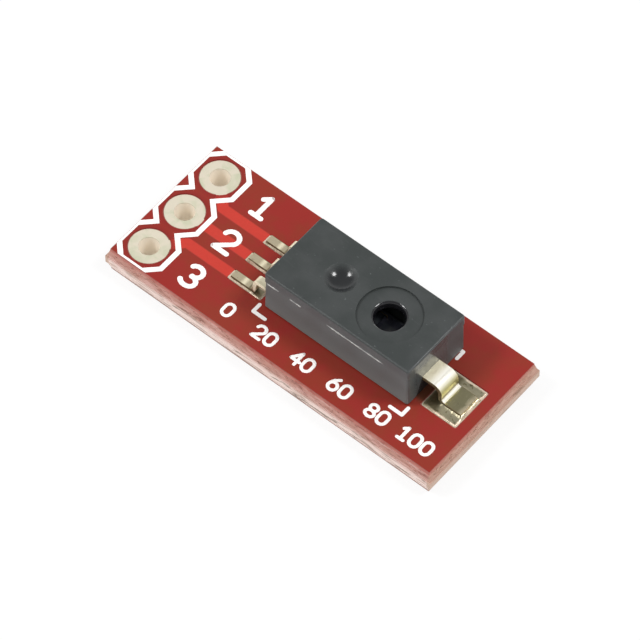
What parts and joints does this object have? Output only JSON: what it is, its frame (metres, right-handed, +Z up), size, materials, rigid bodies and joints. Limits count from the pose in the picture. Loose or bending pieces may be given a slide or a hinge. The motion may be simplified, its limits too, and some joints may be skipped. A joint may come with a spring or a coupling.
{
  "type": "humidity sensor breakout board",
  "caption": "Small red circuit board with a vented humidity sensor, a row of plated header holes and a soldered anchor tab.",
  "frame": {"origin": "on the underside, in the middle of the board", "axes": "+X along the board from the row of plated holes to the sensor's anchor tab, +Y along the row of holes towards the ground hole, +Z up out of the component side"},
  "size_m": [0.0194, 0.008, 0.0043],
  "materials": {
    "laminate": "glass-fibre epoxy laminate, snapped edges",
    "solder_mask": "red solder mask, satin gloss",
    "tinned_copper": "copper, tinned where it is bare",
    "white_ink": "white printed ink",
    "housing": "dark grey moulded thermoplastic, fine matt grain",
    "glue": "dark epoxy adhesive",
    "lead_frame": "tinned lead-frame alloy, warm metal",
    "solder": "reflowed solder, smooth",
    "silicon": "polished silicon",
    "sensing_film": "thin polymer film",
    "gold_wire": "fine gold bond wire"
  },
  "bodies": {
    "root": {"laminate": "laminate", "solder_mask_top": "solder_mask", "solder_mask_bottom": "solder_mask", "copper_ground": "tinned_copper", "copper_output": "tinned_copper", "copper_supply": "tinned_copper", "anchor_pad": "tinned_copper", "printed_outline": "white_ink", "sensor_base": "housing", "sensor_cover": "housing", "cover_glue": "glue", "lead_ground": "lead_frame", "lead_output": "lead_frame", "lead_supply": "lead_frame", "anchor_tab": "lead_frame", "solder_joint_ground": "solder", "solder_joint_output": "solder", "solder_joint_supply": "solder", "solder_joint_tab": "solder", "sensing_chip": "silicon", "humidity_film": "sensing_film", "chip_glue": "glue", "bond_wire_ground": "gold_wire", "bond_wire_output": "gold_wire", "bond_wire_supply": "gold_wire"}
  },
  "joints": []
}
